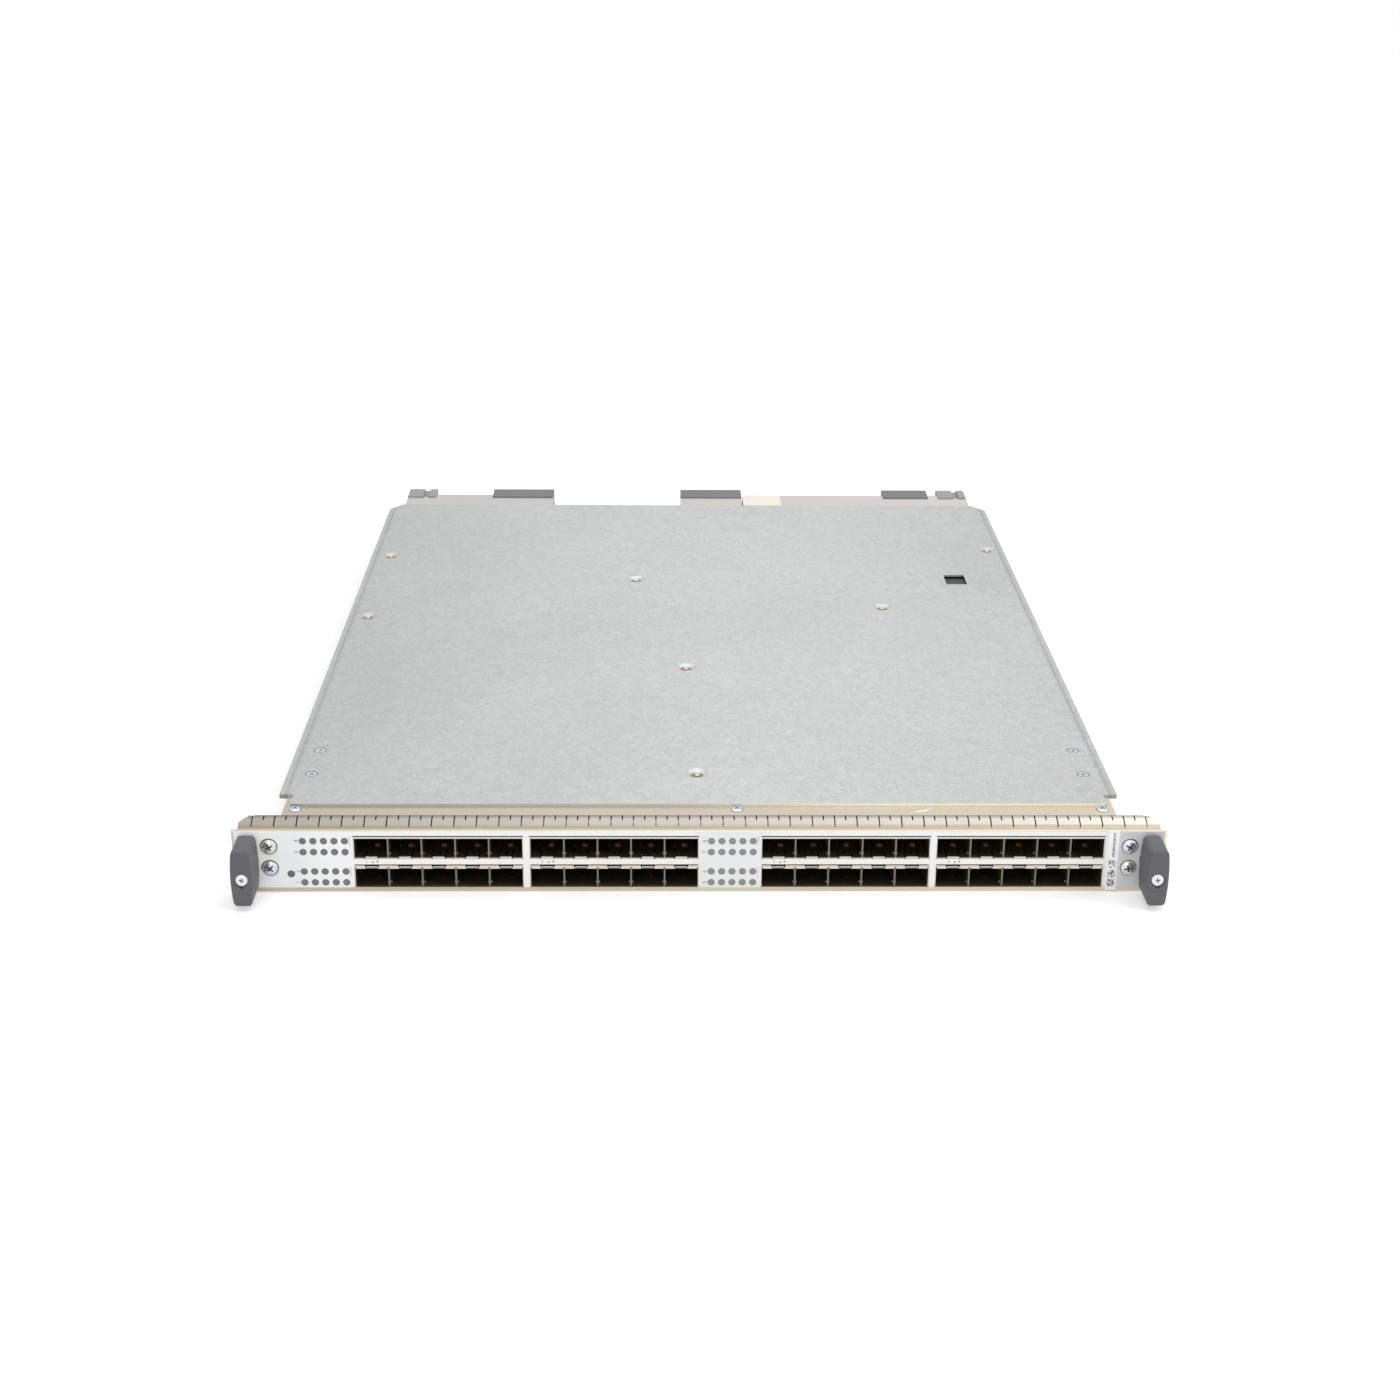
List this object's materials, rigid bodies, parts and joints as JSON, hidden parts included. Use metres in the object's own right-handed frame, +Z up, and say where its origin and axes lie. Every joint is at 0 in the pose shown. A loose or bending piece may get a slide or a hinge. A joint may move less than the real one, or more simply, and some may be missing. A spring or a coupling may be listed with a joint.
{
  "type": "switch line card",
  "caption": "Flat switch line card: plated faceplate with stacked transceiver ports, finger gasket, galvanised tray, rear connectors and two turning jackscrew knobs.",
  "frame": {"origin": "middle of the card's length and width, on the face that it rests on", "axes": "+X to the right along the faceplate, +Y from the faceplate to the rear connectors, +Z up from the resting face to the tray"},
  "size_m": [0.3966, 0.5266, 0.031],
  "materials": {
    "black_film": "black insulating film",
    "board_laminate": "green solder mask",
    "bushing_brass": "turned brass",
    "cage_metal": "bright plated sheet",
    "can_aluminium": "bright can",
    "chip_package": "black moulded package",
    "clear_pipe": "clear moulded plastic",
    "connector_dark": "dark grey moulded plastic",
    "galvanised_steel": "galvanised, faint spangle",
    "guide_plastic": "grey moulded plastic",
    "knob_plastic": "fine moulded texture",
    "label_paper": "blank white label",
    "module_case": "black anodised",
    "overlay_film": "satin silver film",
    "plated_steel": "satin zinc plating with a yellow tint",
    "port_plastic": "black moulded plastic",
    "power_plastic": "ivory moulded plastic",
    "screw_zinc": "bright zinc",
    "sink_aluminium": "black anodised",
    "spindle_steel": "turned steel",
    "spring_strip": "plated spring strip",
    "stud_brass": "nickel over brass",
    "wafer_plastic": "pale moulded plastic"
  },
  "bodies": {
    "card": {"backplane_connector_1": "connector_dark", "backplane_connector_2": "connector_dark", "backplane_connector_3": "connector_dark", "blank_sticker": "label_paper", "cage_dividers_1": "cage_metal", "cage_dividers_2": "cage_metal", "cage_dividers_3": "cage_metal", "cage_dividers_4": "cage_metal", "cage_lids": "cage_metal", "cage_separator_1": "cage_metal", "cage_separator_2": "cage_metal", "cage_separator_3": "cage_metal", "cage_separator_4": "cage_metal", "cage_shell_1": "cage_metal", "cage_shell_2": "cage_metal", "cage_shell_3": "cage_metal", "cage_shell_4": "cage_metal", "capacitors": "can_aluminium", "carrier_tray": "galvanised_steel", "circuit_board": "board_laminate", "connector_wafers_1": "wafer_plastic", "connector_wafers_2": "wafer_plastic", "connector_wafers_3": "wafer_plastic", "emi_gasket": "spring_strip", "fabric_chips": "chip_package", "face_screws": "screw_zinc", "faceplate": "plated_steel", "flange_screws": "screw_zinc", "front_overlay": "overlay_film", "guide_block_left": "guide_plastic", "guide_block_right": "guide_plastic", "heat_sinks": "sink_aluminium", "jackscrew_bushing_left": "bushing_brass", "jackscrew_bushing_right": "bushing_brass", "memory_chips": "chip_package", "port_connectors_1": "port_plastic", "port_connectors_2": "port_plastic", "port_connectors_3": "port_plastic", "port_connectors_4": "port_plastic", "port_light_pipes_left": "clear_pipe", "port_light_pipes_middle": "clear_pipe", "power_connector": "power_plastic", "power_modules": "module_case", "processors": "chip_package", "rear_stiffeners": "plated_steel", "side_bracket_left": "plated_steel", "side_bracket_right": "plated_steel", "status_light_pipe": "clear_pipe", "tray_screws": "screw_zinc", "tray_studs": "stud_brass", "window_pad": "black_film"},
    "left_jackscrew": {"jackscrew_left": "spindle_steel", "knob_left": "knob_plastic", "knob_screw_left": "screw_zinc", "retaining_ring_left": "spindle_steel"},
    "right_jackscrew": {"jackscrew_right": "spindle_steel", "knob_right": "knob_plastic", "knob_screw_right": "screw_zinc", "retaining_ring_right": "spindle_steel"}
  },
  "joints": [
    {"name": "left_jackscrew_turn", "type": "hinge", "parent": "card", "child": "left_jackscrew", "pos_m": [-0.1916, -0.2447, 0.01545], "axis": [0, 1, 0], "continuous": true},
    {"name": "right_jackscrew_turn", "type": "hinge", "parent": "card", "child": "right_jackscrew", "pos_m": [0.1916, -0.2447, 0.01545], "axis": [0, 1, 0], "continuous": true}
  ]
}
